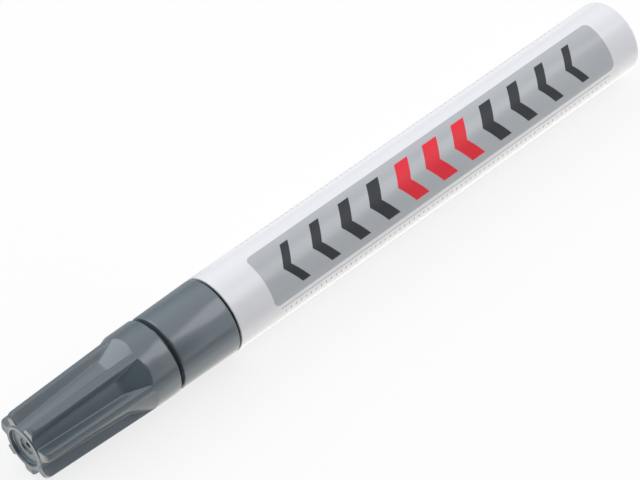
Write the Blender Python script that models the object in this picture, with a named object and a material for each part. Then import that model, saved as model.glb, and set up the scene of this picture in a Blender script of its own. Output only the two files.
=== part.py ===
# Valve-action paint marker, capped and lying on its side.
# Metres. X runs along the pen with the writing end toward +X, and +Z is up.
# Stations along the pen are counted from the mouth of the barrel, forward positive.

import math

import bmesh
import bpy
from mathutils import Matrix, Vector

# Barrel: a drawn aluminium tube with a closed flat tail
BARREL_DIAMETER = 0.0150
BARREL_LENGTH = 0.1013
BARREL_WALL = 0.0005
TAIL_THICKNESS = 0.0008
TAIL_EDGE_RADIUS = 0.0006
MOUTH_CHAMFER = 0.00015

# Front section: the collar that shows, the insert in the barrel and the spigot in the cap
COLLAR_GAP = 0.0004
COLLAR_LENGTH = 0.01235
COLLAR_STEP = 0.00004
COLLAR_TAPER = 0.00022
COLLAR_EDGE = 0.0002
INSERT_LENGTH = 0.0065
SPIGOT_WALL = 0.0010
SPIGOT_ROOT_DEPTH = 0.0004
FRONT_WALL = 0.0012
SNAP_BEAD_HEIGHT = 0.00012
SNAP_BEAD_WIDTH = 0.0012
SNAP_BEAD_SETBACK = 0.0022

# Ring that seals the insert to the barrel, in a groove behind the collar
RING_GROOVE_WIDTH = 0.0013
RING_GROOVE_DEPTH = 0.0009

# Cap: smooth skirt, flutes that ramp down from it, ribs between them
CAP_GAP = 0.00095
CAP_OVERHANG = 0.00015
CAP_WALL = 0.0010
SKIRT_LENGTH = 0.0051
SKIRT_TAPER = 0.00005
RAMP_LENGTH = 0.0050
RIB_COUNT = 7
RIB_CREST_WIDTH = 0.0013
RIB_PHASE_DEGREES = -18.2
FLUTE_WALL = 0.00135
FLUTE_END_WALL = 0.0011
FLUTE_FLOOR_WIDTH = 0.00275
FLUTE_FLOOR_END_WIDTH = 0.0017
CAP_END_DIAMETER = 0.0130
RIB_END_RADIUS = 0.0010
END_DISC_STEP = 0.0002
END_THICKNESS = 0.0022
END_RIM_WIDTH = 0.0008
END_RECESS_DEPTH = 0.0007
GATE_WELL_DIAMETER = 0.0032
GATE_WELL_DEPTH = 0.0004

# Seal sleeve in the cap
SEAL_LENGTH = 0.0060
SEAL_WALL = 0.0006
SEAL_LEAD = 0.0003

# Nib and the nose tube that guides it
NIB_DIAMETER = 0.0040
NIB_SHANK_DIAMETER = 0.0046
NIB_EXPOSED = 0.0050
NIB_DOME_LENGTH = 0.0024
NIB_TAIL = 0.0010
NIB_TRAVEL = 0.0015
NIB_HEADROOM = 0.00565
NIB_CHAMBER_DIAMETER = 0.0067
NOSE_WALL = 0.0006
NOSE_RECESS = 0.0005
NOSE_NECK_LENGTH = 0.0040
NOSE_CHAMFER = 0.0003
NOSE_FLANGE_THICKNESS = 0.0015

# Valve behind the nib
VALVE_WALL = 0.0010
POCKET_CLEARANCE = 0.0005
SEAT_WALL = 0.0016
SEAT_SEAL_THICKNESS = 0.0010
SEAT_SEAL_OVERLAP = 0.0014
STEM_DIAMETER = 0.0018
FLOW_GAP = 0.0005
HEAD_THICKNESS = 0.0016
HEAD_OVERLAP = 0.0011
HEAD_EDGE = 0.0004
GUIDE_DIAMETER = 0.0028
GUIDE_LENGTH = 0.0055
SPRING_WIRE = 0.0005
SPRING_LENGTH = 0.0085
SPRING_TURNS = 6
RETAINER_THICKNESS = 0.0020
RETAINER_PIN_DIAMETER = 0.0026
RETAINER_PIN_LENGTH = 0.0010
RETAINER_NOTCHES = 4
RETAINER_NOTCH_WIDTH = 0.0014
RETAINER_NOTCH_DEPTH = 0.0007

# Loose ball in the paint chamber
BALL_DIAMETER = 0.0064
BALL_STATION = -0.0700

# Clearances
FIT_GAP = 0.00015
SEAT_GAP = 0.0003
SLIDE_GAP = 0.0003

# Facets round a full turn
BARREL_FACETS = 48
CAP_FACETS = 56
INNER_FACETS = 32
SMALL_FACETS = 24

# Radii from the barrel inward to the valve
barrel_radius = BARREL_DIAMETER / 2
barrel_bore = barrel_radius - BARREL_WALL
insert_radius = barrel_bore - FIT_GAP
ring_groove_radius = insert_radius - RING_GROOVE_DEPTH
collar_rear_radius = barrel_radius - COLLAR_STEP
collar_front_radius = collar_rear_radius - COLLAR_TAPER
cap_rim_radius = collar_front_radius + CAP_OVERHANG
cap_shoulder_radius = cap_rim_radius - SKIRT_TAPER
skirt_bore = cap_rim_radius - CAP_WALL
spigot_radius = skirt_bore - SLIDE_GAP
front_bore = spigot_radius - SPIGOT_WALL
flange_radius = front_bore - FIT_GAP
valve_radius = front_bore - FIT_GAP
valve_bore = valve_radius - VALVE_WALL

# Radii from the nib outward to the core of the cap
nib_radius = NIB_DIAMETER / 2
shank_radius = NIB_SHANK_DIAMETER / 2
neck_bore = nib_radius + SLIDE_GAP
shank_bore = shank_radius + SLIDE_GAP
nose_radius = shank_bore + NOSE_WALL
front_hole = nose_radius + FIT_GAP
seal_bore = nose_radius + SLIDE_GAP
seal_radius = seal_bore + SEAL_WALL
seal_seat = seal_radius + FIT_GAP
floor_rear_radius = seal_seat + FLUTE_WALL
nib_chamber = NIB_CHAMBER_DIAMETER / 2
floor_end_radius = nib_chamber + FLUTE_END_WALL
crest_end_radius = CAP_END_DIAMETER / 2
end_disc_radius = floor_end_radius
end_recess_radius = end_disc_radius - END_RIM_WIDTH

# Radii of the valve's small pieces
stem_radius = STEM_DIAMETER / 2
guide_radius = GUIDE_DIAMETER / 2
seat_hole = stem_radius + FLOW_GAP
head_radius = seat_hole + HEAD_OVERLAP
seat_seal_radius = seat_hole + SEAT_SEAL_OVERLAP
seat_seal_pocket = seat_seal_radius + FIT_GAP
nib_pocket = shank_radius + FLOW_GAP
spring_radius = guide_radius + SLIDE_GAP + SPRING_WIRE / 2
retainer_radius = valve_bore - FIT_GAP

# Distances inside the cap, counted forward from its rim
ramp_end = SKIRT_LENGTH + RAMP_LENGTH
seal_end = ramp_end + SEAL_LENGTH
seal_shoulder = seal_end + SEAT_GAP
nose_end = seal_end - NOSE_RECESS
nib_end = nose_end + NIB_EXPOSED
chamber_end = nib_end + NIB_HEADROOM
cap_length = chamber_end + END_THICKNESS

# Stations along the pen
collar_front = COLLAR_GAP + COLLAR_LENGTH
cap_rim = collar_front + CAP_GAP
spigot_face = cap_rim + SKIRT_LENGTH - SEAT_GAP
front_wall_face = spigot_face - FRONT_WALL
flange_front = front_wall_face - SEAT_GAP
flange_rear = flange_front - NOSE_FLANGE_THICKNESS
nose_tip = cap_rim + nose_end
neck_rear = nose_tip - NOSE_NECK_LENGTH
nib_tip = cap_rim + nib_end
nib_shoulder = neck_rear - SEAT_GAP
nib_rear = flange_rear - NIB_TAIL
valve_front = flange_rear - SEAT_GAP
pocket_floor = nib_rear - NIB_TRAVEL - POCKET_CLEARANCE
seat_face = pocket_floor - SEAT_WALL
seat_seal_front = seat_face - SEAT_GAP
seat_seal_rear = seat_seal_front - SEAT_SEAL_THICKNESS
stem_tip = nib_rear - SEAT_GAP
head_front = seat_seal_rear - SEAT_GAP
head_rear = head_front - HEAD_THICKNESS
guide_rear = head_rear - GUIDE_LENGTH
spring_front = head_rear - SEAT_GAP
spring_rear = spring_front - SPRING_LENGTH
retainer_front = spring_rear - SEAT_GAP
retainer_rear = retainer_front - RETAINER_THICKNESS
valve_rear = retainer_rear
tail_face = -BARREL_LENGTH
pen_front = cap_rim + cap_length

# The pen lies with its middle over the origin and its barrel on the ground
mouth_x = (BARREL_LENGTH - pen_front) / 2
axis_height = barrel_radius


def paint(name, colour, roughness, metallic=0.0):
    """A plain Principled material."""
    material = bpy.data.materials.new(name)
    material.use_nodes = True
    shader = material.node_tree.nodes["Principled BSDF"]
    shader.inputs["Base Color"].default_value = (*colour, 1.0)
    shader.inputs["Roughness"].default_value = roughness
    shader.inputs["Metallic"].default_value = metallic
    material.diffuse_color = (*colour, 1.0)
    return material


def place(name, mesh, material, parent, station=0.0):
    """Put a mesh on the pen's axis as a named object."""
    mesh.materials.append(material)
    piece = bpy.data.objects.new(name, mesh)
    bpy.context.scene.collection.objects.link(piece)
    piece.parent = parent
    piece.location = (station, 0.0, 0.0)
    return piece


def shade(mesh, degrees=35.0):
    """Smooth shading with the hard edges kept sharp."""
    mesh.shade_smooth()
    mesh.set_sharp_from_angle(angle=math.radians(degrees))


def arc(centre_x, centre_r, radius, start, stop, steps):
    """Points of an arc in the (station, radius) plane, angles in degrees from +X."""
    points = []
    for i in range(steps + 1):
        angle = math.radians(start + (stop - start) * i / steps)
        points.append((centre_x + radius * math.cos(angle), centre_r + radius * math.sin(angle)))
    return points


def turned_mesh(name, outline, facets):
    """Spin an outline of (station, radius) points about X, with a facet facing straight down."""
    work = bmesh.new()
    half = math.pi / facets
    down = Vector((0.0, math.sin(half), -math.cos(half)))
    corners = []
    for station, radius in outline:
        corners.append(work.verts.new(Vector((station, 0.0, 0.0)) + down * radius))
    for first, second in zip(corners, corners[1:]):
        work.edges.new((first, second))
    if outline[0][1] > 0.0 or outline[-1][1] > 0.0:
        work.edges.new((corners[-1], corners[0]))
    bmesh.ops.spin(
        work,
        geom=list(work.verts) + list(work.edges),
        cent=(0.0, 0.0, 0.0),
        axis=(1.0, 0.0, 0.0),
        angle=2 * math.pi,
        steps=facets,
        use_merge=True,
    )
    bmesh.ops.remove_doubles(work, verts=work.verts, dist=1e-7)
    bmesh.ops.recalc_face_normals(work, faces=work.faces)
    mesh = bpy.data.meshes.new(name)
    work.to_mesh(mesh)
    work.free()
    shade(mesh)
    return mesh


def cut(piece, cutter):
    """Take one hidden solid away from a piece."""
    cutter.hide_render = True
    cutter.hide_viewport = False
    cutter.display_type = "WIRE"
    step = piece.modifiers.new("cut", "BOOLEAN")
    step.operation = "DIFFERENCE"
    step.solver = "EXACT"
    step.object = cutter


def repeated_hulls(name, corners, count, phase, parent):
    """A cutter made of one convex block repeated round the X axis."""
    work = bmesh.new()
    for i in range(count):
        turn = Matrix.Rotation(phase + 2 * math.pi * i / count, 3, "X")
        block = [work.verts.new(turn @ Vector(corner)) for corner in corners]
        bmesh.ops.convex_hull(work, input=block)
    bmesh.ops.recalc_face_normals(work, faces=work.faces)
    mesh = bpy.data.meshes.new(name)
    work.to_mesh(mesh)
    work.free()
    cutter = bpy.data.objects.new(name, mesh)
    bpy.context.scene.collection.objects.link(cutter)
    cutter.parent = parent
    return cutter


def make_barrel(parent, material):
    """Tube with a closed flat tail and a rounded tail edge."""
    edge = TAIL_EDGE_RADIUS
    floor = tail_face + TAIL_THICKNESS
    outline = [(tail_face, 0.0)]
    outline += arc(tail_face + edge, barrel_radius - edge, edge, 180, 90, 4)
    outline += [
        (-MOUTH_CHAMFER, barrel_radius),
        (0.0, barrel_radius - MOUTH_CHAMFER),
        (0.0, barrel_bore),
        (floor + edge, barrel_bore),
        (floor, barrel_bore - edge),
        (floor, 0.0),
    ]
    return place("barrel", turned_mesh("barrel", outline, BARREL_FACETS), material, parent)


def make_front_section(parent, material):
    """Insert with its ring groove, tapered collar, spigot with a relieved root and a snap bead, and the bore."""
    groove_rear = COLLAR_GAP - RING_GROOVE_WIDTH
    root_radius = spigot_radius - SPIGOT_ROOT_DEPTH
    bead_rear = spigot_face - SNAP_BEAD_SETBACK
    bead_front = bead_rear + SNAP_BEAD_WIDTH
    bead_radius = spigot_radius + SNAP_BEAD_HEIGHT
    outline = [
        (-INSERT_LENGTH, front_bore),
        (-INSERT_LENGTH, insert_radius - COLLAR_EDGE),
        (-INSERT_LENGTH + COLLAR_EDGE, insert_radius),
        (groove_rear, insert_radius),
        (groove_rear, ring_groove_radius),
        (COLLAR_GAP, ring_groove_radius),
        (COLLAR_GAP, collar_rear_radius - COLLAR_EDGE),
        (COLLAR_GAP + COLLAR_EDGE, collar_rear_radius),
        (collar_front - COLLAR_EDGE, collar_front_radius),
        (collar_front, collar_front_radius - COLLAR_EDGE),
        (collar_front, root_radius),
        (cap_rim, root_radius),
        (cap_rim + SPIGOT_ROOT_DEPTH, spigot_radius),
        (bead_rear, spigot_radius),
        ((bead_rear + bead_front) / 2, bead_radius),
        (bead_front, spigot_radius),
        (spigot_face - COLLAR_EDGE, spigot_radius),
        (spigot_face, spigot_radius - COLLAR_EDGE),
        (spigot_face, front_hole),
        (front_wall_face, front_hole),
        (front_wall_face, front_bore),
    ]
    return place("front_section", turned_mesh("front_section", outline, BARREL_FACETS), material, parent)


def make_barrel_seal_ring(parent, material):
    """Round-section ring in the groove of the insert."""
    section = (barrel_bore - ring_groove_radius) / 2 - FIT_GAP
    middle = (barrel_bore + ring_groove_radius) / 2
    station = COLLAR_GAP - RING_GROOVE_WIDTH / 2
    outline = arc(0.0, middle, section, 0, 315, 7)
    return place(
        "barrel_seal_ring", turned_mesh("barrel_seal_ring", outline, BARREL_FACETS), material, parent, station
    )


def make_nib_holder(parent, material):
    """Nose tube with a neck at its tip and a flange at its rear."""
    outline = [
        (flange_rear, shank_bore),
        (flange_rear, flange_radius),
        (flange_front, flange_radius),
        (flange_front, nose_radius),
        (nose_tip - NOSE_CHAMFER, nose_radius),
        (nose_tip, nose_radius - NOSE_CHAMFER),
        (nose_tip, neck_bore),
        (neck_rear, neck_bore),
        (neck_rear, shank_bore),
    ]
    return place("nib_holder", turned_mesh("nib_holder", outline, INNER_FACETS), material, parent)


def make_nib(parent, material):
    """Stepped fibre bullet; its origin is the foot of the dome."""
    dome = nib_tip - NIB_DOME_LENGTH
    outline = [
        (nib_rear - dome, 0.0),
        (nib_rear - dome, shank_radius),
        (nib_shoulder - dome, shank_radius),
        (nib_shoulder - dome, nib_radius),
    ]
    for i in range(7):
        angle = math.radians(90 * i / 6)
        outline.append((NIB_DOME_LENGTH * math.sin(angle), nib_radius * max(math.cos(angle), 0.0)))
    outline[-1] = (NIB_DOME_LENGTH, 0.0)
    return place("nib", turned_mesh("nib", outline, INNER_FACETS), material, parent, dome)


def make_valve_body(parent, material):
    """Cup with a pocket for the nib in front, the seat wall, and the spring chamber behind."""
    pocket_rear = seat_seal_rear
    outline = [
        (valve_front, nib_pocket),
        (pocket_floor, nib_pocket),
        (pocket_floor, seat_hole),
        (seat_face, seat_hole),
        (seat_face, seat_seal_pocket),
        (pocket_rear, seat_seal_pocket),
        (pocket_rear, valve_bore),
        (valve_rear, valve_bore),
        (valve_rear, valve_radius),
        (valve_front, valve_radius),
    ]
    return place("valve_body", turned_mesh("valve_body", outline, INNER_FACETS), material, parent)


def make_valve_seat_seal(parent, material):
    """Flat ring on the seat wall."""
    outline = [
        (0.0, seat_hole),
        (0.0, seat_seal_radius),
        (-SEAT_SEAL_THICKNESS, seat_seal_radius),
        (-SEAT_SEAL_THICKNESS, seat_hole),
    ]
    return place(
        "valve_seat_seal", turned_mesh("valve_seat_seal", outline, INNER_FACETS), material, parent, seat_seal_front
    )


def make_valve_plunger(parent, material):
    """Stem through the seat, head behind it and the guide inside the spring."""
    rounding = stem_radius / 2
    outline = [
        (stem_tip - head_front, 0.0),
        (stem_tip - head_front, stem_radius - rounding),
        (stem_tip - head_front - rounding, stem_radius),
        (0.0, stem_radius),
        (0.0, head_radius - HEAD_EDGE),
        (-HEAD_EDGE, head_radius),
        (-HEAD_THICKNESS, head_radius),
        (-HEAD_THICKNESS, guide_radius),
        (guide_rear - head_front + rounding, guide_radius),
        (guide_rear - head_front, guide_radius - rounding),
        (guide_rear - head_front, 0.0),
    ]
    return place("valve_plunger", turned_mesh("valve_plunger", outline, SMALL_FACETS), material, parent, head_front)


def make_valve_spring(parent, material):
    """One unbroken helix of round wire."""
    reach = SPRING_LENGTH - SPRING_WIRE
    per_turn = 10
    count = SPRING_TURNS * per_turn
    points = []
    for i in range(count + 1):
        angle = 2 * math.pi * i / per_turn
        along = SPRING_WIRE / 2 + reach * i / count
        points.append(Vector((along, spring_radius * math.sin(angle), spring_radius * math.cos(angle))))
    least = min(
        (points[i] - points[j]).length
        for i in range(count + 1)
        for j in range(i + per_turn // 2, count + 1)
    )
    print("valve_spring least gap to itself: %.2f mm" % ((least - SPRING_WIRE) * 1000))
    curve = bpy.data.curves.new("valve_spring", "CURVE")
    curve.dimensions = "3D"
    curve.bevel_depth = SPRING_WIRE / 2
    curve.bevel_resolution = 1
    curve.use_fill_caps = True
    line = curve.splines.new("POLY")
    line.points.add(count)
    for point, place_on_wire in zip(line.points, points):
        point.co = (*place_on_wire, 1.0)
    line.use_smooth = True
    curve.materials.append(material)
    spring = bpy.data.objects.new("valve_spring", curve)
    bpy.context.scene.collection.objects.link(spring)
    spring.parent = parent
    spring.location = (spring_rear, 0.0, 0.0)
    return spring


def make_spring_retainer(parent, material):
    """Disc with a centring pin in front and paint notches round its edge."""
    outline = [
        (RETAINER_THICKNESS + RETAINER_PIN_LENGTH, 0.0),
        (RETAINER_THICKNESS + RETAINER_PIN_LENGTH, RETAINER_PIN_DIAMETER / 2),
        (RETAINER_THICKNESS, RETAINER_PIN_DIAMETER / 2),
        (RETAINER_THICKNESS, retainer_radius),
        (0.0, retainer_radius),
        (0.0, 0.0),
    ]
    disc = place(
        "spring_retainer", turned_mesh("spring_retainer", outline, INNER_FACETS), material, parent, retainer_rear
    )
    half = RETAINER_NOTCH_WIDTH / 2
    inner = retainer_radius - RETAINER_NOTCH_DEPTH
    outer = retainer_radius + RETAINER_NOTCH_DEPTH
    corners = []
    for station in (-RETAINER_THICKNESS, 2 * RETAINER_THICKNESS):
        for radius in (inner, outer):
            for side in (-half, half):
                corners.append((station, side, radius))
    cut(disc, repeated_hulls("retainer_notches", corners, RETAINER_NOTCHES, 0.0, disc))
    return disc


def make_mixing_ball(parent, material):
    """Ball lying on the bottom of the barrel's bore."""
    radius = BALL_DIAMETER / 2
    work = bmesh.new()
    bmesh.ops.create_uvsphere(work, u_segments=20, v_segments=12, radius=radius)
    mesh = bpy.data.meshes.new("mixing_ball")
    work.to_mesh(mesh)
    work.free()
    mesh.shade_smooth()
    ball = place("mixing_ball", mesh, material, parent, BALL_STATION)
    ball.location.z = -(barrel_bore - radius - FIT_GAP)
    return ball


def make_cap_shell(parent, material):
    """Turned cup with a stepped bore and a recessed end, fluted round its outside."""
    tip = RIB_END_RADIUS
    rib_end = cap_length - END_DISC_STEP
    well = GATE_WELL_DIAMETER / 2
    recess_floor = cap_length - END_RECESS_DEPTH
    well_floor = recess_floor - GATE_WELL_DEPTH
    outline = [
        (0.0, skirt_bore + COLLAR_EDGE),
        (0.0, cap_rim_radius - COLLAR_EDGE),
        (COLLAR_EDGE, cap_rim_radius),
        (SKIRT_LENGTH, cap_shoulder_radius),
    ]
    outline += arc(rib_end - tip, crest_end_radius - tip, tip, 80, 0, 4)
    outline += [
        (rib_end, end_disc_radius),
        (cap_length, end_disc_radius - END_DISC_STEP / 2),
        (cap_length, end_recess_radius),
        (recess_floor, end_recess_radius),
        (recess_floor, well),
        (well_floor, well),
        (well_floor, 0.0),
    ]
    inside = [
        (chamber_end, 0.0),
        (chamber_end, nib_chamber),
        (seal_shoulder, nib_chamber),
        (seal_shoulder, seal_seat),
        (ramp_end, seal_seat),
        (SKIRT_LENGTH, skirt_bore),
        (COLLAR_EDGE, skirt_bore),
    ]
    # Outside and inside meet at the rim and end on the axis at each side of the end wall
    cap = place(
        "cap_shell",
        turned_mesh("cap_shell", inside + outline, CAP_FACETS),
        material,
        parent,
        cap_rim,
    )
    pitch = math.pi / RIB_COUNT
    half_rib = RIB_CREST_WIDTH / 2
    above = RIB_END_RADIUS / 2
    beyond = END_THICKNESS
    slope = (cap_shoulder_radius - floor_rear_radius) / RAMP_LENGTH
    fall = (floor_rear_radius - floor_end_radius) / (cap_length - ramp_end)
    floor_beyond = floor_end_radius - fall * beyond
    narrowing = (FLUTE_FLOOR_WIDTH - FLUTE_FLOOR_END_WIDTH) / (cap_length - ramp_end)
    width_beyond = FLUTE_FLOOR_END_WIDTH - narrowing * beyond
    corners = []
    for station, half_floor, floor, crest in (
        (ramp_end, FLUTE_FLOOR_WIDTH / 2, floor_rear_radius, cap_shoulder_radius),
        (cap_length + beyond, width_beyond / 2, floor_beyond, crest_end_radius),
    ):
        crest_radial = crest * math.cos(pitch) + half_rib * math.sin(pitch)
        crest_side = crest * math.sin(pitch) - half_rib * math.cos(pitch)
        spread = (crest_side - half_floor) / (crest_radial - floor)
        top = crest + above
        half_top = half_floor + spread * (top - floor)
        back = (top - floor) / slope if station == ramp_end else 0.0
        for side in (-1.0, 1.0):
            corners.append((station, side * half_floor, floor))
            corners.append((station - back, side * half_top, top))
    phase = math.radians(RIB_PHASE_DEGREES) + pitch
    cut(cap, repeated_hulls("cap_flutes", corners, RIB_COUNT, phase, cap))
    return cap


def make_cap_seal(parent, material):
    """Soft sleeve pressed into the core of the cap, with a lead-in at its open end."""
    outline = [
        (0.0, seal_bore + SEAL_LEAD),
        (0.0, seal_radius),
        (SEAL_LENGTH, seal_radius),
        (SEAL_LENGTH, seal_bore),
        (SEAL_LEAD, seal_bore),
    ]
    return place(
        "cap_seal", turned_mesh("cap_seal", outline, INNER_FACETS), material, parent, cap_rim + ramp_end
    )


def build():
    for old in list(bpy.data.objects):
        bpy.data.objects.remove(old, do_unlink=True)

    white_lacquer = paint("white_lacquer", (0.78, 0.78, 0.83), 0.32)
    grey_front = paint("grey_front_plastic", (0.19, 0.215, 0.235), 0.42)
    grey_cap = paint("grey_cap_plastic", (0.17, 0.195, 0.215), 0.42)
    seal_plastic = paint("seal_plastic", (0.72, 0.73, 0.72), 0.5)
    nose_plastic = paint("nose_plastic", (0.62, 0.63, 0.63), 0.45)
    fibre = paint("nib_fibre", (0.80, 0.79, 0.75), 0.9)
    valve_plastic = paint("valve_plastic", (0.70, 0.70, 0.68), 0.5)
    seat_rubber = paint("seat_rubber", (0.03, 0.03, 0.03), 0.75)
    ring_rubber = paint("ring_rubber", (0.025, 0.025, 0.028), 0.7)
    plunger_plastic = paint("plunger_plastic", (0.55, 0.60, 0.66), 0.4)
    retainer_plastic = paint("retainer_plastic", (0.66, 0.66, 0.64), 0.5)
    spring_steel = paint("spring_steel", (0.60, 0.60, 0.60), 0.3, 1.0)
    ball_steel = paint("ball_steel", (0.65, 0.65, 0.66), 0.18, 1.0)

    pen = bpy.data.objects.new("pen_axis", None)
    bpy.context.scene.collection.objects.link(pen)
    pen.location = (mouth_x, 0.0, axis_height)

    make_barrel(pen, white_lacquer)
    make_front_section(pen, grey_front)
    make_barrel_seal_ring(pen, ring_rubber)
    make_nib_holder(pen, nose_plastic)
    make_nib(pen, fibre)
    make_valve_body(pen, valve_plastic)
    make_valve_seat_seal(pen, seat_rubber)
    make_valve_plunger(pen, plunger_plastic)
    make_valve_spring(pen, spring_steel)
    make_spring_retainer(pen, retainer_plastic)
    make_mixing_ball(pen, ball_steel)
    make_cap_shell(pen, grey_cap)
    make_cap_seal(pen, seal_plastic)


build()
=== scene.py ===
"""Looks of a capped paint marker: its shells, its nib end, its finishes and its stage."""

import math

import bmesh
import bpy
from bpy.props import FloatProperty, FloatVectorProperty, IntProperty, PointerProperty
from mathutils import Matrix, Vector


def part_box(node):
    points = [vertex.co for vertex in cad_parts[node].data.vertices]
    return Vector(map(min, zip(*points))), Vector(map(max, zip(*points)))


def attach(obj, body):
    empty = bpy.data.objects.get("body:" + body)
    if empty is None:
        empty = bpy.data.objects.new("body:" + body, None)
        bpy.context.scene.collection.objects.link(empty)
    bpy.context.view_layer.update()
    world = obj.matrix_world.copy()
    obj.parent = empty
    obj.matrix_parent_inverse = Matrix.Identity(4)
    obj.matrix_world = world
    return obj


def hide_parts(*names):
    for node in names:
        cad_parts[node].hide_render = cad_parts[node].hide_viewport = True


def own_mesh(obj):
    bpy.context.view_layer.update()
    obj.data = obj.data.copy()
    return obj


bl_info = {
    "name": "Paint Marker",
    "version": (1, 0, 0),
    "blender": (4, 5, 0),
    "location": "View3D > Sidebar > Marker",
    "description": "Models the shells and the nib end of a capped paint marker",
    "category": "Object",
}

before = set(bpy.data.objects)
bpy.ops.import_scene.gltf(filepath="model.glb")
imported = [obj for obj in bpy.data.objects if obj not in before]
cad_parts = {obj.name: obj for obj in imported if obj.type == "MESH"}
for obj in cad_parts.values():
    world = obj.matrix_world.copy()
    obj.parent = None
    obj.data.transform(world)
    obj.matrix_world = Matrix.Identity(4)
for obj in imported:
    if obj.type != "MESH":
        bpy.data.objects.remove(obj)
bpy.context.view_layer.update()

# Places read from the frame: the pen lies along X with its writing end toward +X
BARREL_LOW, BARREL_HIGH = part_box("barrel")
FRONT_LOW, FRONT_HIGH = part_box("front_section")
CAP_LOW, CAP_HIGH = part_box("cap_shell")
SEAL_LOW, SEAL_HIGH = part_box("cap_seal")
NOSE_LOW, NOSE_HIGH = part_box("nib_holder")
NIB_LOW, NIB_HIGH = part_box("nib")
SPRING_LOW, SPRING_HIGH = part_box("valve_spring")
AXIS_Z = (BARREL_LOW.z + BARREL_HIGH.z) / 2
MM = 0.001

# Corners closer than this are one, and edges that bend more than this stay sharp
MERGE_WITHIN = 0.0002 * MM
SHARP_FROM = math.radians(38)

# Most of an edge that the rounding at one end of it may take
CORNER_SHARE = 0.49

# Layout of the print, along the pen and round the barrel
PRINT_TURN = math.radians(-37.0)
PRINT_SETBACK = 51.12 * MM
PRINT_EDGE = 0.08 * MM
PANEL_HALF_LENGTH = 43.1 * MM
PANEL_HALF_WIDTH = 5.45 * MM
PANEL_CORNER = 1.2 * MM
CHEVRONS_EACH_SIDE = 5
RED_EACH_SIDE = 1
CHEVRON_PITCH = 7.1 * MM
CHEVRON_SHIFT = 2.2 * MM
CHEVRON_SWEEP = 0.62
CHEVRON_HALF_HEIGHT = 3.9 * MM
CHEVRON_HALF_THICKNESS = 1.78 * MM
CHEVRON_THINNING = 0.17 * MM
HAIRLINE_DROP = 6.4 * MM
HAIRLINE_HALF_WIDTH = 0.1 * MM
TICK_ROWS_MIDDLE = 1.45 * MM
TICK_ROWS_REACH = 9.05 * MM
TICK_HALF_HEIGHT = 0.35 * MM
TICK_HALF_PITCH = 0.6 * MM
TICK_HALF_WIDTH = 0.12 * MM
RULE_INK = 0.8

# Specular level of the two grey mouldings
GREY_GLOSS = 0.85

# Soft boxes that hang round the pen: place, size, radiance and colour
SOFT_BOXES = {
    "top_softbox": ((-0.28, 0.21, 0.51), (0.36, 0.28), 1.7, (1.0, 0.99, 1.02)),
    "back_softbox": ((0.14, -0.44, 0.43), (0.42, 0.46), 1.5, (0.98, 0.99, 1.04)),
}

# Patches of floor that throw light back up: place, size and radiance
BOUNCES = {
    "side_bounce": ((0.0, 0.012, 0.0004), (0.24, 0.016), 0.45),
    "end_bounce": ((CAP_HIGH.x + 0.022, 0.0, 0.0001), (0.036, 0.036), 0.9),
}
BOUNCE_COLOUR = (1.0, 0.95, 0.80)


def length(label, words, metres):
    """A length that a user can set."""
    return FloatProperty(
        name=label, description=words, default=metres, min=0.0, precision=5, unit="LENGTH"
    )


def angle(label, words, degrees):
    """A turn that a user can set."""
    return FloatProperty(
        name=label, description=words, default=math.radians(degrees), subtype="ANGLE"
    )


def colour(label, words, rgb):
    """A colour that a user can set."""
    return FloatVectorProperty(
        name=label, description=words, default=rgb, size=3, min=0.0, max=1.0, subtype="COLOR"
    )


class MarkerBarrelSettings(bpy.types.PropertyGroup):
    radius: length("Radius", "Outer radius of the tube", (BARREL_HIGH.y - BARREL_LOW.y) / 2)
    wall: length("Wall", "Thickness of the tube", 0.5 * MM)
    tail_edge: length("Tail edge", "Rounding of the tail's edge", 0.6 * MM)
    tail_floor: length("Tail floor", "Thickness of the closed tail", 0.8 * MM)
    white: colour("White", "Lacquer of the barrel", (0.745, 0.745, 0.765))
    panel: colour("Panel", "Ground of the printed panel", (0.42, 0.44, 0.455))
    dark: colour("Dark", "Dark bars of the print", (0.032, 0.036, 0.042))
    red: colour("Red", "Red bars of the print", (0.80, 0.024, 0.042))


class MarkerFrontSettings(bpy.types.PropertyGroup):
    collar_gap: length("Collar gap", "Open line between the barrel and the collar", 0.4 * MM)
    collar_length: length("Collar length", "Length of the collar that shows", 12.35 * MM)
    collar_rear: length("Collar rear", "Radius of the collar at the barrel", 7.46 * MM)
    collar_front: length("Collar front", "Radius of the collar at the cap", 7.24 * MM)
    spigot: length("Spigot", "Radius of the spigot that the cap grips", 6.09 * MM)
    root: length("Root", "Depth of the relief at the spigot's root", 0.4 * MM)
    insert: length("Insert", "Radius of the insert in the barrel", 6.85 * MM)
    bore: length("Bore", "Radius of the bore that holds the valve", 5.09 * MM)
    plastic: colour("Plastic", "Moulded plastic of the front section", (0.105, 0.134, 0.152))


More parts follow.
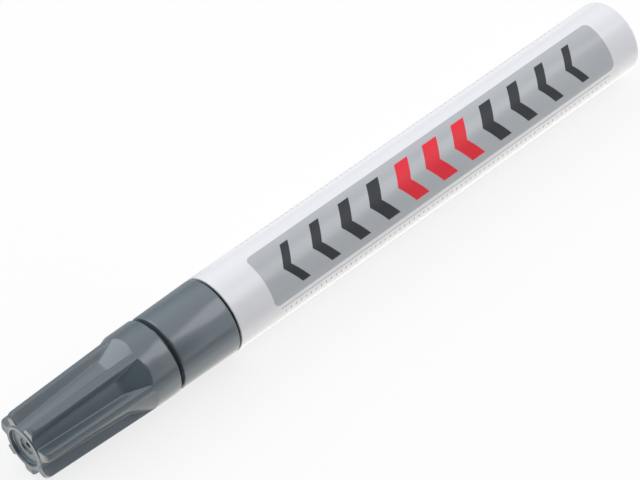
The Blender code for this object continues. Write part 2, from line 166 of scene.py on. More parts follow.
class MarkerCapSettings(bpy.types.PropertyGroup):
    ribs: IntProperty(
        name="Ribs", description="Number of ribs round the cap", default=7, min=3, max=16
    )
    rib_turn: angle("Rib turn", "Turn of the first rib from straight up", -18.2)
    rim: length("Rim", "Radius of the cap at its mouth", 7.39 * MM)
    shoulder: length("Shoulder", "Radius where the flutes begin", 7.34 * MM)
    skirt: length("Skirt", "Length of the smooth band at the mouth", 5.1 * MM)
    ramp: length("Ramp", "Length of the slope from the band down into a flute", 5.0 * MM)
    crest_end: length("Crest end", "Radius over the ribs at the cap's end", 6.50 * MM)
    crest_width: length("Crest width", "Width of a rib along its top", 1.3 * MM)
    floor_rear: length("Floor rear", "Radius of a flute's floor at the ramp's foot", 5.60 * MM)
    floor_end: length("Floor end", "Radius of a flute's floor at the cap's end", 4.45 * MM)
    width_rear: length("Width, rear", "Width of a flute's floor at the ramp's foot", 2.75 * MM)
    width_end: length("Width, end", "Width of a flute's floor at the cap's end", 1.7 * MM)
    rib_tip: length("Rib tip", "Rounding of the ribs' ends", 1.0 * MM)
    edge: length("Edge", "Softness of the ribs' edges", 0.15 * MM)
    foot: length("Foot", "Softness of the corners along the flutes' floors", 0.22 * MM)
    disc_step: length("Disc step", "How far the end disc stands past the ribs", 0.2 * MM)
    recess: length("Recess", "Depth of the dished end", 0.7 * MM)
    plastic: colour("Plastic", "Moulded plastic of the cap", (0.092, 0.121, 0.138))


class MarkerStageSettings(bpy.types.PropertyGroup):
    azimuth: angle("Azimuth", "Turn of the camera round the pen", 136.35)
    elevation: angle("Elevation", "Height of the camera over the ground", 47.42)
    distance: length("Distance", "Camera to the point that it looks at", 0.4815)
    look_along: length(
        "Look along", "Where along the pen the camera looks", BARREL_HIGH.x - 25.455 * MM
    )
    lens: FloatProperty(
        name="Lens", description="Focal length in millimetres", default=153.65, min=10.0
    )
    ground: colour("Ground", "Pale floor", (0.86, 0.86, 0.87))


class Value:
    """A node socket that takes part in Python expressions."""

    def __init__(self, finish, socket):
        self.finish = finish
        self.socket = socket

    def _math(self, operation, *operands, clamp=False):
        settings = {"operation": operation, "use_clamp": clamp}
        return self.finish.node("Math", settings, dict(enumerate(operands)))

    def __add__(self, other):
        return self._math("ADD", self, other)

    def __sub__(self, other):
        return self._math("SUBTRACT", self, other)

    def __rsub__(self, other):
        return self._math("SUBTRACT", other, self)

    def __mul__(self, other):
        return self._math("MULTIPLY", self, other)

    __radd__ = __add__
    __rmul__ = __mul__

    def __abs__(self):
        return self._math("ABSOLUTE", self)

    def larger(self, other):
        return self._math("MAXIMUM", self, other)

    def root(self):
        return self._math("SQRT", self)

    def turn_from(self, other):
        return self._math("ARCTAN2", self, other)

    def to_and_fro(self, reach):
        """Distance from the nearest even multiple of a reach."""
        return self._math("PINGPONG", self, reach)

    def below(self, limit, softness):
        """1 under a limit and 0 over it, with a soft edge."""
        return self._math("MULTIPLY_ADD", limit - self, 1 / softness, 0.5, clamp=True)


class Shading:
    """A shader node tree written as expressions."""

    def __init__(self, tree):
        self.nodes = tree.nodes
        self.links = tree.links

    def node(self, kind, settings=None, sockets=None, out=0):
        """Add a node, set it up, feed its sockets, and wrap one of its outputs."""
        made = self.nodes.new("ShaderNode" + kind)
        for name, value in (settings or {}).items():
            setattr(made, name, value)
        for key, value in (sockets or {}).items():
            self.feed(made.inputs[key], value)
        return Value(self, made.outputs[out])

    def feed(self, socket, value):
        if isinstance(value, Value):
            self.links.new(value.socket, socket)
        elif socket.type == "RGBA":
            socket.default_value = (*value, 1.0)
        else:
            socket.default_value = value

    def blend(self, factor, first, second):
        """Mix two colours."""
        return self.node("Mix", {"data_type": "RGBA"}, {0: factor, 6: first, 7: second}, out=2)


class Finish(Shading):
    """A Principled material."""

    def __init__(self, name):
        self.material = bpy.data.materials.new(name)
        self.material.use_nodes = True
        super().__init__(self.material.node_tree)
        self.shader = self.nodes["Principled BSDF"]

    def set(self, **inputs):
        """Feed the Principled shader, naming its sockets with underscores."""
        for name, value in inputs.items():
            title = name.replace("_", " ").title().replace("Ior", "IOR")
            self.feed(self.shader.inputs[title], value)

    def here(self):
        """Object coordinates in metres."""
        return self.node("TexCoord", out="Object")

    def part(self, here, axis):
        """One of the three parts of a vector."""
        return self.node("SeparateXYZ", None, {0: here}, out=axis)

    def drawn_out(self, here, along):
        """Object coordinates scaled along the pen alone, which lengthens a pattern."""
        scale = (along, 1.0, 1.0)
        return self.node("VectorMath", {"operation": "MULTIPLY"}, {0: here, 1: scale})

    def noise(self, here, scale, detail=2.0, rough=0.5):
        sockets = {"Vector": here, "Scale": scale, "Detail": detail, "Roughness": rough}
        return self.node("TexNoise", None, sockets)

    def bump(self, height, depth):
        """Normal from a height field that is depth metres deep."""
        return self.node("Bump", None, {"Strength": 1.0, "Distance": depth, "Height": height})


def tint(rgb, share):
    """A colour made lighter or darker by a share."""
    return tuple(min(1.0, part * share) for part in rgb)


def moulded_plastic(name, rgb, rough=0.18, gloss=0.5):
    """Satin moulded plastic: faint flow marks, uneven gloss and a fine spark-eroded grain."""
    finish = Finish(name)
    here = finish.here()
    flow = finish.noise(finish.drawn_out(here, 0.35), scale=260.0, detail=3.0, rough=0.55)
    cloud = finish.noise(here, scale=900.0)
    pits = finish.noise(here, scale=9000.0, rough=0.6)
    shade = flow * 0.6 + cloud * 0.4
    finish.set(
        base_color=finish.blend(shade, tint(rgb, 0.94), tint(rgb, 1.06)),
        roughness=cloud * 0.08 + (rough - 0.04),
        specular_ior_level=gloss,
        normal=finish.bump(pits, 0.002 * MM),
    )
    return finish.material


def soft_plastic(name, rgb):
    """Milky unpigmented plastic."""
    finish = Finish(name)
    here = finish.here()
    cloud = finish.noise(here, scale=700.0)
    finish.set(
        base_color=finish.blend(cloud, tint(rgb, 0.95), tint(rgb, 1.04)),
        roughness=cloud * 0.12 + 0.40,
        subsurface_weight=0.15,
        subsurface_radius=(0.8 * MM, 0.8 * MM, 0.8 * MM),
        normal=finish.bump(finish.noise(here, scale=7000.0), 0.003 * MM),
    )
    return finish.material


def bonded_fibre(name, rgb):
    """Compressed nib fibre: fine strands along the nib, matt and slightly fuzzy."""
    finish = Finish(name)
    along = finish.drawn_out(finish.here(), 0.06)
    strands = finish.noise(along, scale=9000.0, detail=3.0, rough=0.6)
    finish.set(
        base_color=finish.blend(strands, tint(rgb, 0.80), tint(rgb, 1.06)),
        roughness=strands * 0.1 + 0.85,
        sheen_weight=0.25,
        normal=finish.bump(strands, 0.03 * MM),
    )
    return finish.material


def seal_rubber(name, rgb):
    """Black nitrile rubber with a dusty bloom."""
    finish = Finish(name)
    bloom = finish.noise(finish.here(), scale=1500.0, detail=4.0, rough=0.6)
    finish.set(
        base_color=finish.blend(bloom, tint(rgb, 0.8), tint(rgb, 1.5)),
        roughness=bloom * 0.2 + 0.6,
        normal=finish.bump(bloom, 0.01 * MM),
    )
    return finish.material


def bright_steel(name, rgb, rough):
    """Steel with a fine worked grain."""
    finish = Finish(name)
    marks = finish.noise(finish.here(), scale=5000.0, detail=3.0, rough=0.6)
    finish.set(
        base_color=finish.blend(marks, tint(rgb, 0.9), tint(rgb, 1.05)),
        metallic=1.0,
        roughness=marks * 0.12 + rough,
        normal=finish.bump(marks, 0.002 * MM),
    )
    return finish.material


def printed_lacquer(settings):
    """White lacquer with a printed panel of chevrons, read along the barrel and round it."""
    finish = Finish("printed_lacquer")
    here = finish.here()
    x, y, z = [finish.part(here, axis) for axis in range(3)]
    orange_peel = finish.noise(here, scale=900.0, detail=1.0)
    cloud = finish.noise(finish.drawn_out(here, 0.3), scale=300.0)

    # The panel's own axes: along the pen from its middle, and round the barrel from its middle line
    along = x - (BARREL_HIGH.x - PRINT_SETBACK)
    side = (AXIS_Z - z) * math.sin(PRINT_TURN) - y * math.cos(PRINT_TURN)
    front = (z - AXIS_Z) * math.cos(PRINT_TURN) - y * math.sin(PRINT_TURN)
    around = side.turn_from(front) * settings.radius
    straight_long = PANEL_HALF_LENGTH - PANEL_CORNER
    straight_wide = PANEL_HALF_WIDTH - PANEL_CORNER
    out_long = (abs(along) - straight_long).larger(0.0)
    out_wide = (abs(around) - straight_wide).larger(0.0)
    outside = (out_long * out_long + out_wide * out_wide).root()
    panel = outside.below(PANEL_CORNER, PRINT_EDGE)

    # Chevrons that point to the nib: bold red in the middle, dark ones that thin out to each side
    swept = along + abs(around) * CHEVRON_SWEEP
    tall = abs(around).below(CHEVRON_HALF_HEIGHT, PRINT_EDGE)
    bars = {}
    for step in range(-CHEVRONS_EACH_SIDE, CHEVRONS_EACH_SIDE + 1):
        thick = CHEVRON_HALF_THICKNESS - CHEVRON_THINNING * abs(step)
        middle = CHEVRON_PITCH * step + CHEVRON_SHIFT
        bar = abs(swept - middle).below(thick, PRINT_EDGE) * tall
        kind = "red" if abs(step) <= RED_EACH_SIDE else "dark"
        bars[kind] = bars[kind].larger(bar) if kind in bars else bar
    ink = bars["dark"].larger(bars["red"])

    # Rules on the white: a hairline under the panel, and a row of fine ticks on each side of it
    hairline = abs(around + HAIRLINE_DROP).below(HAIRLINE_HALF_WIDTH, PRINT_EDGE)
    from_row = abs(abs(around - TICK_ROWS_MIDDLE) - TICK_ROWS_REACH)
    row = from_row.below(TICK_HALF_HEIGHT, PRINT_EDGE)
    tick = row * along.to_and_fro(TICK_HALF_PITCH).below(TICK_HALF_WIDTH, PRINT_EDGE)
    rules = hairline.larger(tick) * abs(along).below(straight_long, PRINT_EDGE)

    white = finish.blend(cloud, tint(settings.white, 0.985), tint(settings.white, 1.01))
    ground = finish.blend(cloud, tint(settings.panel, 0.96), tint(settings.panel, 1.04))
    base = finish.blend(panel, white, ground)
    base = finish.blend(bars["dark"], base, settings.dark)
    base = finish.blend(bars["red"], base, settings.red)
    base = finish.blend(rules * RULE_INK, base, tint(settings.panel, 0.5))
    finish.set(
        base_color=base,
        roughness=cloud * 0.05 + ink * 0.15 + 0.22,
        specular_ior_level=0.25,
        coat_weight=0.75 - ink * 0.75,
        coat_roughness=0.22,
        normal=finish.bump(orange_peel, 0.0015 * MM),
    )
    return finish.material


def spot(x, radius, turn):
    """A point at a place along the pen, a distance from its axis and a turn from straight up."""
    return Vector((x, -radius * math.sin(turn), AXIS_Z + radius * math.cos(turn)))


def ring(x, radius, turns):
    """Points round the pen's axis at a place along it."""
    return [spot(x, radius, turn) for turn in turns]


def even_turns(count):
    return [2 * math.pi * i / count for i in range(count)]


def bend(start, corner, end, steps=4):
    """Points of a soft corner."""
    shares = [step / steps for step in range(steps + 1)]
    return [start * (1 - t) ** 2 + corner * 2 * t * (1 - t) + end * t**2 for t in shares]


def eased(outline, steps=4, closed=False):
    """Round the corners of an outline whose points are (x, radius, rounding)."""
    points = [Vector(point[:2]) for point in outline]
    soft = []
    last = len(points) - 1
    for i, point in enumerate(points):
        rounding = outline[i][2] if len(outline[i]) > 2 else 0.0
        if rounding == 0.0 or (not closed and i in (0, last)):
            soft.append(point)
            continue
        before = points[i - 1] - point
        after = points[(i + 1) % len(points)] - point
        reach = min(rounding, before.length * CORNER_SHARE, after.length * CORNER_SHARE)
        start = point + before.normalized() * reach
        end = point + after.normalized() * reach
        soft += bend(start, point, end, steps)
    if closed:
        soft.append(soft[0].copy())
    return soft


def loft(name, rings):
    """Add a circle and extrude it from ring to ring, then merge poles and seams."""
    bpy.ops.object.select_all(action="DESELECT")
    bpy.ops.mesh.primitive_circle_add(vertices=len(rings[0]), radius=MM)
    piece = bpy.context.object
    piece.name = name
    piece.data.name = name
    bpy.ops.object.mode_set(mode="EDIT")
    work = bmesh.from_edit_mesh(piece.data)
    column = work.verts.layers.int.new("column")
    for number, corner in enumerate(work.verts):
        corner[column] = number
    for number, points in enumerate(rings):
        if number > 0:
            bpy.ops.mesh.extrude_edges_move()
        work = bmesh.from_edit_mesh(piece.data)
        column = work.verts.layers.int["column"]
        for corner in work.verts:
            if corner.select:
                corner.co = points[corner[column]]
        bmesh.update_edit_mesh(piece.data)
    bpy.ops.mesh.select_all(action="SELECT")
    bpy.ops.mesh.remove_doubles(threshold=MERGE_WITHIN)
    bpy.ops.mesh.normals_make_consistent(inside=False)
    bpy.ops.object.mode_set(mode="OBJECT")
    piece.data.attributes.remove(piece.data.attributes["column"])
    bpy.ops.object.shade_smooth_by_angle(angle=SHARP_FROM)
    return piece


def turned(name, outline, columns=128, closed=False, steps=4):
    """A solid of revolution about the pen's axis."""
    turns = even_turns(columns)
    return loft(name, [ring(point.x, point.y, turns) for point in eased(outline, steps, closed)])


def dress(piece, material, body, slot, *nodes):
    """Give a piece its finish, its body and the nodes that it stands for."""
    piece.data.materials.clear()
    piece.data.materials.append(material)
    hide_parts(*nodes)
    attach(piece, body)


class MARKER_OT_barrel(bpy.types.Operator):
    """Model the white barrel and print its panel"""

    bl_idname = "marker.barrel"
    bl_label = "Barrel"

    def execute(self, context):
        size = context.scene.marker_barrel
        tail, mouth = BARREL_LOW.x, BARREL_HIGH.x
        bore = size.radius - size.wall
        floor = tail + size.tail_floor
        outline = [
            (tail, 0.0),
            (tail, size.radius, size.tail_edge * 1.2),
            (mouth, size.radius, 0.12 * MM),
            (mouth, bore, 0.08 * MM),
            (floor, bore, size.tail_edge),
            (floor, 0.0),
        ]
        piece = turned("barrel_shell", outline, 192, steps=8)
        dress(piece, printed_lacquer(size), "pen_body", "white_lacquer", "barrel")
        return {"FINISHED"}


class MARKER_OT_front(bpy.types.Operator):
    """Model the grey front section with its ring groove, collar, relieved spigot and snap bead"""

    bl_idname = "marker.front"
    bl_label = "Front section"

    def execute(self, context):
        size = context.scene.marker_front
        rear, face = FRONT_LOW.x, FRONT_HIGH.x
        collar_rear = BARREL_HIGH.x + size.collar_gap
        collar_front = collar_rear + size.collar_length
        groove = collar_rear - 1.3 * MM
        groove_floor = size.insert - 0.9 * MM
        rim = CAP_LOW.x
        relief = size.spigot - size.root
        bead, bead_reach, bead_height = face - 1.6 * MM, 0.6 * MM, 0.12 * MM
        web = face - 1.2 * MM
        hole = 3.35 * MM
        crisp, soft = 0.1 * MM, 0.15 * MM
        outline = [
            (rear, size.bore, 0.2 * MM),
            (rear, size.insert, 0.4 * MM),
            (groove, size.insert, crisp),
            (groove, groove_floor, soft),
            (collar_rear, groove_floor, soft),
            (collar_rear, size.collar_rear, 0.3 * MM),
            (collar_front, size.collar_front, 0.35 * MM),
            (collar_front, relief, soft),
            (rim, relief, crisp),
            (rim + size.root, size.spigot, crisp),
            (bead - bead_reach, size.spigot, crisp),
            (bead, size.spigot + bead_height, 0.3 * MM),
            (bead + bead_reach, size.spigot, crisp),
            (face, size.spigot, 0.45 * MM),
            (face, hole, soft),
            (web, hole, crisp),
            (web, size.bore, crisp),
        ]
        piece = turned("front_shell", outline, 160, closed=True)
        grey = moulded_plastic("front_grey", size.plastic, gloss=GREY_GLOSS)
        dress(piece, grey, "pen_body", "grey_front_plastic", "front_section")
        return {"FINISHED"}


def smooth_less(first, second, ease):
    """The smaller of two lengths, with the crossing eased over a width."""
    overlap = max(ease - abs(first - second), 0.0) / ease
    return min(first, second) - overlap * overlap * ease / 4


def smooth_more(first, second, ease):
    """The larger of two lengths, with the crossing eased over a width."""
    return -smooth_less(-first, -second, ease)


class FluteForm:
    """The cap's outside, given as one cross-section for each place along it."""

    flatness = 0.3
    crest_columns = 8
    floor_shares = (0.0, 0.35, 0.7)
    turn_share = 0.6
    wall_share = 0.45
    wall_rounds = 6
    ramp_foot_ease = 0.12 * MM
    ramp_top_ease = 0.04 * MM

    def __init__(self, size, depth):
        self.size = size
        self.rib_end = depth - size.disc_step
        self.pitch = math.pi / size.ribs
        self.foot = size.skirt + size.ramp
        self.depth = depth

    def crest_line(self, along):
        """Radius over the ribs before their ends are rounded."""
        size = self.size
        share = (along - size.skirt) / (self.rib_end - size.skirt)
        return size.shoulder + (size.crest_end - size.shoulder) * share

    def crest(self, along):
        return self.crest_line(along) - self.fallen(along, self.size.rib_tip)

    def fallen(self, along, radius):
        """How far a quarter round of this radius has dropped before the ribs' end."""
        past = min(max(along - (self.rib_end - radius), 0.0), radius)
        return radius - math.sqrt(radius**2 - past**2)

    def flattened(self, middle, turn):
        """Radius of a floor that is partly flat, a turn away from the middle of its flute."""
        return middle * (1 + self.flatness * (1 / math.cos(turn) - 1))

    def floor_line(self, along):
        """Middle radius and half turn of the flute floor, carried back under the ramp."""
        size = self.size
        share = (along - self.foot) / (self.depth - self.foot)
        radius = size.floor_rear + (size.floor_end - size.floor_rear) * share
        width = size.width_rear + (size.width_end - size.width_rear) * share
        return radius, width / 2 / radius

    def floor(self, along):
        """Radius at the middle of a flute, ramp included."""
        size = self.size
        slope = (size.shoulder - size.floor_rear) / size.ramp
        ramp = size.shoulder - slope * (along - size.skirt)
        risen = smooth_more(ramp, self.floor_line(along)[0], self.ramp_foot_ease)
        return smooth_less(risen, self.crest(along), self.ramp_top_ease)

    def corners(self, along):
        """The foot and the top of a flute's wall, which fall together where the ramp runs out."""
        size = self.size
        middle, low_turn = self.floor_line(along)
        low = self.flattened(middle, low_turn)
        high = self.crest_line(along)
        high_turn = self.pitch - size.crest_width / 2 / high
        floor, crest = self.floor(along), self.crest(along)
        if self.flattened(floor, high_turn) >= crest:
            edge = math.acos(1 / (1 + (crest / floor - 1) / self.flatness))
            return (edge, crest), (edge, crest)
        narrow = self.fallen(along, size.edge)

        def wall_turn(radius):
            share = min((radius - low) / (high - low), 1.0)
            return low_turn + (high_turn - low_turn) * share + narrow / radius

        foot_turn = low_turn
        for _ in range(self.wall_rounds):
            foot_turn = wall_turn(self.flattened(floor, foot_turn))
        return (foot_turn, self.flattened(floor, foot_turn)), (wall_turn(crest), crest)

    def half_section(self, along):
        """(turn, radius) points from the middle of a flute to the middle of the next rib."""
        size = self.size
        floor, crest = self.floor(along), self.crest(along)
        (foot_turn, foot_radius), (top_turn, _) = self.corners(along)
        foot, top = self.flat(foot_turn, foot_radius), self.flat(top_turn, crest)
        room = (top - foot).length * self.wall_share
        up = (top - foot).normalized()
        on_floor = foot_turn - min(size.foot / floor, foot_turn * self.turn_share)
        on_crest = top_turn + min(size.edge / crest, (self.pitch - top_turn) * self.turn_share)
        turns = [on_floor * share for share in self.floor_shares]
        points = [self.flat(turn, self.flattened(floor, turn)) for turn in turns]
        start = self.flat(on_floor, self.flattened(floor, on_floor))
        points += bend(start, foot, foot + up * min(size.foot, room))
        points += [foot.lerp(top, 0.5)]
        wall_end = top - up * min(size.edge, room)
        points += bend(wall_end, top, self.flat(on_crest, crest))
        for column in range(1, self.crest_columns + 1):
            turn = on_crest + (self.pitch - on_crest) * column / self.crest_columns
            points.append(self.flat(turn, crest))
        return [(math.atan2(point.x, point.y), point.length) for point in points]

    def flat(self, turn, radius):
        return Vector((radius * math.sin(turn), radius * math.cos(turn)))

    def section(self, along):
        """(turn, radius) points of the whole outside at a place along the cap."""
        half = self.half_section(along)
        whole = half + [(2 * self.pitch - turn, radius) for turn, radius in reversed(half[1:-1])]
        first_flute = self.size.rib_turn + self.pitch
        return [
            (first_flute + 2 * self.pitch * flute + turn, radius)
            for flute in range(self.size.ribs)
            for turn, radius in whole
        ]


class MARKER_OT_cap(bpy.types.Operator):
    """Model the cap: stepped bore, smooth skirt, ramped flutes, round-ended ribs and dished end"""

    bl_idname = "marker.cap"
    bl_label = "Cap"

    def execute(self, context):
        size = context.scene.marker_cap
        rim, end = CAP_LOW.x, CAP_HIGH.x
        form = FluteForm(size, end - rim)
        first_turns = [turn for turn, _ in form.section(size.skirt)]
        last_turns = [turn for turn, _ in form.section(form.rib_end)]
        inside = eased(self.inside(size, form, rim))
        rings = [ring(rim + point.x, point.y, first_turns) for point in inside]
        for along in self.stations(size, form):
            rings.append([spot(rim + along, radius, turn) for turn, radius in form.section(along)])
        dished = eased(self.dished_end(size, form))
        rings += [ring(rim + point.x, point.y, last_turns) for point in dished]
        piece = loft("cap_fluted", rings)
        grey = moulded_plastic("cap_grey", size.plastic, gloss=GREY_GLOSS)
        dress(piece, grey, "cap", "grey_cap_plastic", "cap_shell")
        return {"FINISHED"}

    def inside(self, size, form, rim):
        """Outline of the stepped bore, from the closed end out to the skirt."""
        chamber, seat = 3.35 * MM, 4.25 * MM
        bore = size.rim - 1.0 * MM
        ceiling = form.depth - 2.2 * MM
        shoulder = SEAL_HIGH.x - rim + 0.3 * MM
        on_skirt = 0.6
        return [
            (ceiling, 0.0),
            (ceiling, chamber, 0.5 * MM),
            (shoulder, chamber, 0.15 * MM),
            (shoulder, seat, 0.1 * MM),
            (form.foot, seat, 0.4 * MM),
            (size.skirt, bore, 0.4 * MM),
            (0.0, bore, 0.25 * MM),
            (0.0, size.rim, 0.22 * MM),
            (size.skirt * on_skirt, size.rim - (size.rim - size.shoulder) * on_skirt),
        ]

    def dished_end(self, size, form):
        """Outline of the end disc, its dish, the gate well and the pip in the well."""
        disc = size.floor_end - 0.1 * MM
        dish = form.depth - size.recess
        well = dish - 0.35 * MM
        pip = dish - 0.85 * MM
        return [
            (form.rib_end, disc, 0.05 * MM),
            (form.depth, disc - 0.1 * MM, 0.12 * MM),
            (form.depth, disc - 0.75 * MM, 0.15 * MM),
            (dish, disc - 0.85 * MM, 0.2 * MM),
            (dish, 1.6 * MM, 0.12 * MM),
            (well, 1.5 * MM, 0.12 * MM),
            (well, 0.55 * MM, 0.08 * MM),
            (pip, 0.45 * MM, 0.08 * MM),
            (pip, 0.0),
        ]

    def stations(self, size, form):
        """Places along the cap, close together where it bends."""
        at_skirt = (-0.3, -0.1, -0.05, 0.0, 0.03, 0.06, 0.2205, 0.496125, 0.882, 1.378125)
        down_ramp = (0.32, 0.38, 0.45, 0.55, 0.65, 0.77, 0.88)
        at_foot = (-0.25, -0.1, 0.0, 0.1, 0.25, 0.8)
        rib_spans, tip_spans = 7, 10
        places = [size.skirt + part * MM for part in at_skirt]
        places += [size.skirt + size.ramp * share for share in down_ramp]
        places += [form.foot + part * MM for part in at_foot]
        start, tip = places[-1], form.rib_end - size.rib_tip
        for span in range(1, rib_spans + 1):
            places.append(start + (tip - start) * span / rib_spans)
        for span in range(1, tip_spans + 1):
            places.append(tip + size.rib_tip * math.sin(math.pi / 2 * span / tip_spans))
        return places


class MARKER_OT_nib_end(bpy.types.Operator):
    """Model what the cap covers: nose tube, fibre nib and the cap's soft seal"""

    bl_idname = "marker.nib_end"
    bl_label = "Nib end"

    def execute(self, context):
        self.nose()
        self.nib()
        self.seal()
        return {"FINISHED"}

    def nose(self):
        tip, rear = NOSE_HIGH.x, NOSE_LOW.x
        flange, tube = 4.94 * MM, 3.2 * MM
        wide_bore, guide_bore = 2.6 * MM, 2.3 * MM
        flange_front = rear + 1.5 * MM
        guide_rear = tip - 4.0 * MM
        outline = [
            (rear, wide_bore, 0.15 * MM),
            (rear, flange, 0.2 * MM),
            (flange_front, flange, 0.2 * MM),
            (flange_front, tube, 0.15 * MM),
            (tip - 3.0 * MM, tube, 0.3 * MM),
            (tip - 2.7 * MM, tube - 0.12 * MM, 0.2 * MM),
            (tip - 1.2 * MM, tube - 0.15 * MM, 0.5 * MM),
            (tip, tube - 0.45 * MM, 0.25 * MM),
            (tip, guide_bore, 0.15 * MM),
            (guide_rear, guide_bore, 0.15 * MM),
            (guide_rear, wide_bore, 0.15 * MM),
        ]
        piece = turned("nose_tube", outline, 96, closed=True)
        pale = moulded_plastic("nose_pale", (0.62, 0.63, 0.63), rough=0.32)
        dress(piece, pale, "pen_body", "nose_plastic", "nib_holder")

    def nib(self):
        tip, rear = NIB_HIGH.x, NIB_LOW.x
        shank, body, dome = 2.3 * MM, 2.0 * MM, 2.4 * MM
        step = NOSE_HIGH.x - 4.3 * MM
        dome_spans = 12
        outline = [
            (rear, 0.0),
            (rear, shank, 0.3 * MM),
            (step, shank, 0.1 * MM),
            (step, body, 0.1 * MM),
        ]
        for span in range(dome_spans):
            rise = math.pi / 2 * span / dome_spans
            outline.append((tip - dome + dome * math.sin(rise), body * math.cos(rise)))
        outline.append((tip, 0.0))
        piece = turned("nib_bullet", outline, 96)
        dress(piece, bonded_fibre("nib_fibre", (0.80, 0.79, 0.75)), "tip", "nib_fibre", "nib")

    def seal(self):
        rear, front = SEAL_LOW.x, SEAL_HIGH.x
        inner, outer = 3.5 * MM, 4.1 * MM
        lead, lip_reach, lip_height = 0.3 * MM, 0.4 * MM, 0.15 * MM
        outline = [
            (rear, inner + lead, 0.1 * MM),
            (rear, outer, 0.15 * MM),
            (front, outer, 0.15 * MM),
            (front, inner, 0.1 * MM),
        ]
        for lip in (rear + 4.2 * MM, rear + 2.4 * MM):
            outline += [
                (lip + lip_reach, inner, 0.1 * MM),
                (lip, inner - lip_height, 0.2 * MM),
                (lip - lip_reach, inner, 0.1 * MM),
            ]
        outline.append((rear + 0.5 * MM, inner, 0.2 * MM))
        piece = turned("cap_seal_sleeve", outline, 96, closed=True)
        milky = soft_plastic("seal_milky", (0.72, 0.73, 0.72))
        dress(piece, milky, "cap", "seal_plastic", "cap_seal")


class MARKER_OT_spring(bpy.types.Operator):
    """Wind the valve spring, which shortens as the nib is pressed"""

    bl_idname = "marker.spring"
    bl_label = "Valve spring"

    def execute(self, context):
        wire, radius = 0.25 * MM, 1.95 * MM
        turns, columns, steps = 6, 12, 28
        reach = SPRING_HIGH.x - SPRING_LOW.x - 2 * wire
        upright = (math.pi / 2, 0.0, 0.0)
        bpy.ops.object.select_all(action="DESELECT")
        bpy.ops.mesh.primitive_circle_add(vertices=columns, radius=wire, rotation=upright)
        piece = bpy.context.object
        piece.name = piece.data.name = "spring_coil"
        bpy.ops.object.transform_apply(location=True, rotation=True, scale=True)
        bpy.ops.object.mode_set(mode="EDIT")
        bpy.ops.mesh.select_all(action="SELECT")
        bpy.ops.transform.translate(value=(SPRING_LOW.x + wire, 0.0, radius))
        bpy.ops.object.mode_set(mode="OBJECT")
        wind = piece.modifiers.new("wind", "SCREW")
        wind.axis = "X"
        wind.angle = 2 * math.pi
        wind.iterations = turns
        wind.screw_offset = reach / turns
        wind.steps = wind.render_steps = steps
        bpy.ops.object.modifier_apply(modifier=wind.name)
        bpy.ops.object.mode_set(mode="EDIT")
        bpy.ops.mesh.select_all(action="SELECT")
        bpy.ops.transform.translate(value=(0.0, 0.0, AXIS_Z))
        bpy.ops.mesh.select_all(action="DESELECT")
        bpy.ops.mesh.select_mode(type="EDGE")
        bpy.ops.mesh.select_non_manifold()
        bpy.ops.mesh.edge_face_add()
        bpy.ops.mesh.select_all(action="SELECT")
        bpy.ops.mesh.normals_make_consistent(inside=False)
        bpy.ops.object.mode_set(mode="OBJECT")
        bpy.ops.object.shade_smooth_by_angle(angle=SHARP_FROM)
        steel = bright_steel("spring_wire", (0.60, 0.60, 0.60), 0.22)
        dress(piece, steel, "pen_body", "spring_steel", "valve_spring")
        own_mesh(piece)
        return {"FINISHED"}


class MARKER_OT_inner_finishes(bpy.types.Operator):
    """Finish the pieces that stay inside the pen"""

    bl_idname = "marker.inner_finishes"
    bl_label = "Inner finishes"

    def execute(self, context):
        finishes = {
            "valve_body": soft_plastic("valve_milky", (0.70, 0.70, 0.68)),
            "spring_retainer": soft_plastic("retainer_milky", (0.66, 0.66, 0.64)),
            "valve_plunger": moulded_plastic("plunger_blue_grey", (0.55, 0.60, 0.66), rough=0.34),
            "valve_seat_seal": seal_rubber("seat_rubber", (0.030, 0.030, 0.030)),
            "barrel_seal_ring": seal_rubber("ring_rubber", (0.026, 0.026, 0.028)),
            "mixing_ball": bright_steel("ball_steel", (0.65, 0.65, 0.66), 0.10),
        }
        for node, material in finishes.items():
            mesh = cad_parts[node].data
            mesh.materials.clear()
            mesh.materials.append(material)
        return {"FINISHED"}


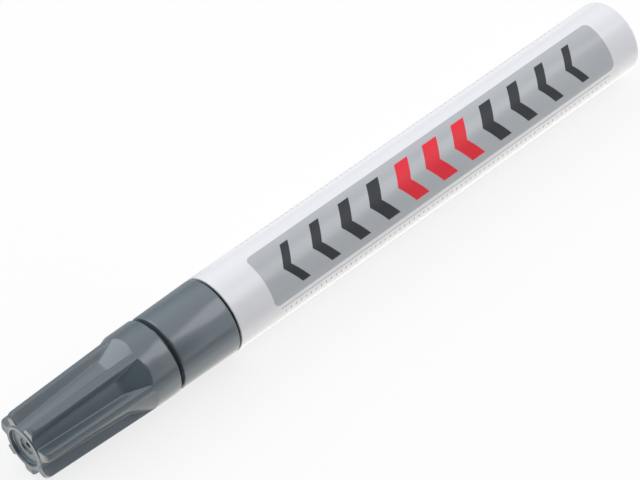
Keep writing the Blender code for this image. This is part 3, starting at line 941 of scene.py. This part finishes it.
class MARKER_OT_stage(bpy.types.Operator):
    """Lay the pale floor, hang the soft lights and set the camera"""

    bl_idname = "marker.stage"
    bl_label = "Stage"

    def execute(self, context):
        stage = context.scene.marker_stage
        self.floor(stage)
        self.world(context.scene)
        for name, (place, size, glow, rgb) in SOFT_BOXES.items():
            self.soft_box(name, Vector(place), Vector(place), size, glow, rgb)
        for name, (place, size, glow) in BOUNCES.items():
            self.bounce(name, Vector(place), size, glow)
        self.camera(context.scene, stage)
        context.scene.view_settings.view_transform = "Standard"
        return {"FINISHED"}

    def floor(self, stage):
        """A pale floor that looks nearly white and keeps a light shadow; to reflections it glows,
        greyer behind and ahead of the pen as a painted dark reflection.
        """
        bpy.ops.object.select_all(action="DESELECT")
        bpy.ops.mesh.primitive_plane_add(size=6.0)
        floor = bpy.context.object
        floor.name = "floor"
        finish = Finish("pale_floor")
        finish.set(base_color=stage.ground, roughness=0.9)
        here = finish.here()
        x, y = finish.part(here, 0), finish.part(here, 1)
        seen = finish.node("LightPath", out="Is Camera Ray")
        mirrored = finish.node("LightPath", out="Is Glossy Ray")
        behind = y.below(-12.0 * MM, 8.0 * MM)
        ahead = 1.0 - y.below(45.0 * MM, 20.0 * MM)

        # The camera looks along the pen aslant, so a spot of floor shows in the pen farther along.
        # The floor's glow for glossy rays is painted darker behind the pen, and ahead of it where
        # it shows in the grey parts: a painted dark reflection that puts shade on the grey parts
        # and, more weakly, on the white barrel.
        slant, by_white, by_greys, by_greys_ahead = 0.563, 0.35, 1.0, 1.25
        shows_at = x + abs(y) * slant
        beside_greys = 1.0 - shows_at.below(BARREL_HIGH.x + 1.8 * MM, 3.0 * MM)
        painted_reflection_shade = behind * (beside_greys * (by_greys - by_white) + by_white)
        painted_reflection_shade = painted_reflection_shade + ahead * beside_greys * by_greys_ahead
        # Painted reflection tone: white, greyed by the painted reflection shade for glossy rays
        # only
        tone = finish.blend(mirrored * painted_reflection_shade, (1.0, 1.0, 1.0), (0.40, 0.405, 0.41))
        white = finish.node("Emission", None, {"Color": tone})
        lit = Value(finish, finish.shader.outputs[0])
        glow_seen, glow_mirrored = 0.78, 0.9
        glow = seen * glow_seen + mirrored * glow_mirrored
        mixed = finish.node("MixShader", None, {0: glow, 1: lit, 2: white})
        finish.feed(finish.nodes["Material Output"].inputs["Surface"], mixed)
        floor.data.materials.append(finish.material)

    def world(self, scene):
        """A white tent over the pen, open and dark toward the camera and behind."""
        world = bpy.data.worlds.new("white_tent")
        scene.world = world
        world.use_nodes = True
        tent = Shading(world.node_tree)
        way = tent.node("TexCoord", out="Generated")
        opening = (0.50, 0.78, 0.38)
        camera_edge, camera_fade = 0.66, 0.16
        rear_edge, rear_fade = -0.75, 0.50
        near = tent.node("VectorMath", {"operation": "DOT_PRODUCT"}, {0: way, 1: opening}, "Value")
        roof = near.below(camera_edge, camera_fade) * (1.0 - near.below(rear_edge, rear_fade))
        tone = tent.blend(roof, (0.03, 0.03, 0.035), (1.12, 1.13, 1.16))
        seen = tent.node("LightPath", out="Is Camera Ray")
        shade = world.node_tree.nodes["Background"]
        tent.feed(shade.inputs["Color"], tent.blend(seen, tone, (1.0, 1.0, 1.0)))

    def soft_box(self, name, place, back, size, glow, rgb):
        """An oblong lamp whose back is turned one way and that glows at a given radiance."""
        lamp = bpy.data.lights.new(name, "AREA")
        lamp.shape = "RECTANGLE"
        lamp.size, lamp.size_y = size
        lamp.energy = glow * math.pi * size[0] * size[1]
        lamp.color = rgb
        box = bpy.data.objects.new(name, lamp)
        bpy.context.scene.collection.objects.link(box)
        box.location = place
        box.rotation_euler = back.to_track_quat("Z", "Y").to_euler()
        return box

    def bounce(self, name, place, size, glow):
        """Light thrown back by the floor close to the pen, out of the camera's sight."""
        down = Vector((0.0, 0.0, -1.0))
        patch = self.soft_box(name, place, down, size, glow, BOUNCE_COLOUR)
        patch.visible_camera = False

    def camera(self, scene, stage):
        lens = bpy.data.cameras.new("photo_camera")
        lens.lens = stage.lens
        lens.sensor_width = 36.0
        lens.clip_start = 0.01
        eye = bpy.data.objects.new("photo_camera", lens)
        scene.collection.objects.link(eye)
        level = math.cos(stage.elevation)
        back = Vector(
            (
                math.sin(stage.azimuth) * level,
                -math.cos(stage.azimuth) * level,
                math.sin(stage.elevation),
            )
        )
        eye.location = Vector((stage.look_along, 0.0, AXIS_Z)) + back * stage.distance
        eye.rotation_euler = (-back).to_track_quat("-Z", "Y").to_euler()
        scene.camera = eye


class MARKER_PT_panel(bpy.types.Panel):
    """Steps that build the marker, in order"""

    bl_idname = "MARKER_PT_panel"
    bl_label = "Paint Marker"
    bl_space_type = "VIEW_3D"
    bl_region_type = "UI"
    bl_category = "Marker"

    def draw(self, context):
        for step in STEPS:
            self.layout.operator(step.bl_idname)


SETTINGS = {
    "marker_barrel": MarkerBarrelSettings,
    "marker_front": MarkerFrontSettings,
    "marker_cap": MarkerCapSettings,
    "marker_stage": MarkerStageSettings,
}
STEPS = (
    MARKER_OT_barrel,
    MARKER_OT_front,
    MARKER_OT_cap,
    MARKER_OT_nib_end,
    MARKER_OT_spring,
    MARKER_OT_inner_finishes,
    MARKER_OT_stage,
)


def register():
    for kind in (*SETTINGS.values(), *STEPS, MARKER_PT_panel):
        bpy.utils.register_class(kind)
    for name, kind in SETTINGS.items():
        setattr(bpy.types.Scene, name, PointerProperty(type=kind))


def unregister():
    for name in SETTINGS:
        delattr(bpy.types.Scene, name)
    for kind in reversed((*SETTINGS.values(), *STEPS, MARKER_PT_panel)):
        bpy.utils.unregister_class(kind)


def main():
    register()
    bpy.ops.marker.barrel()
    bpy.ops.marker.front()
    bpy.ops.marker.cap()
    bpy.ops.marker.nib_end()
    bpy.ops.marker.spring()
    bpy.ops.marker.inner_finishes()
    bpy.ops.marker.stage()


if __name__ == "__main__":
    main()
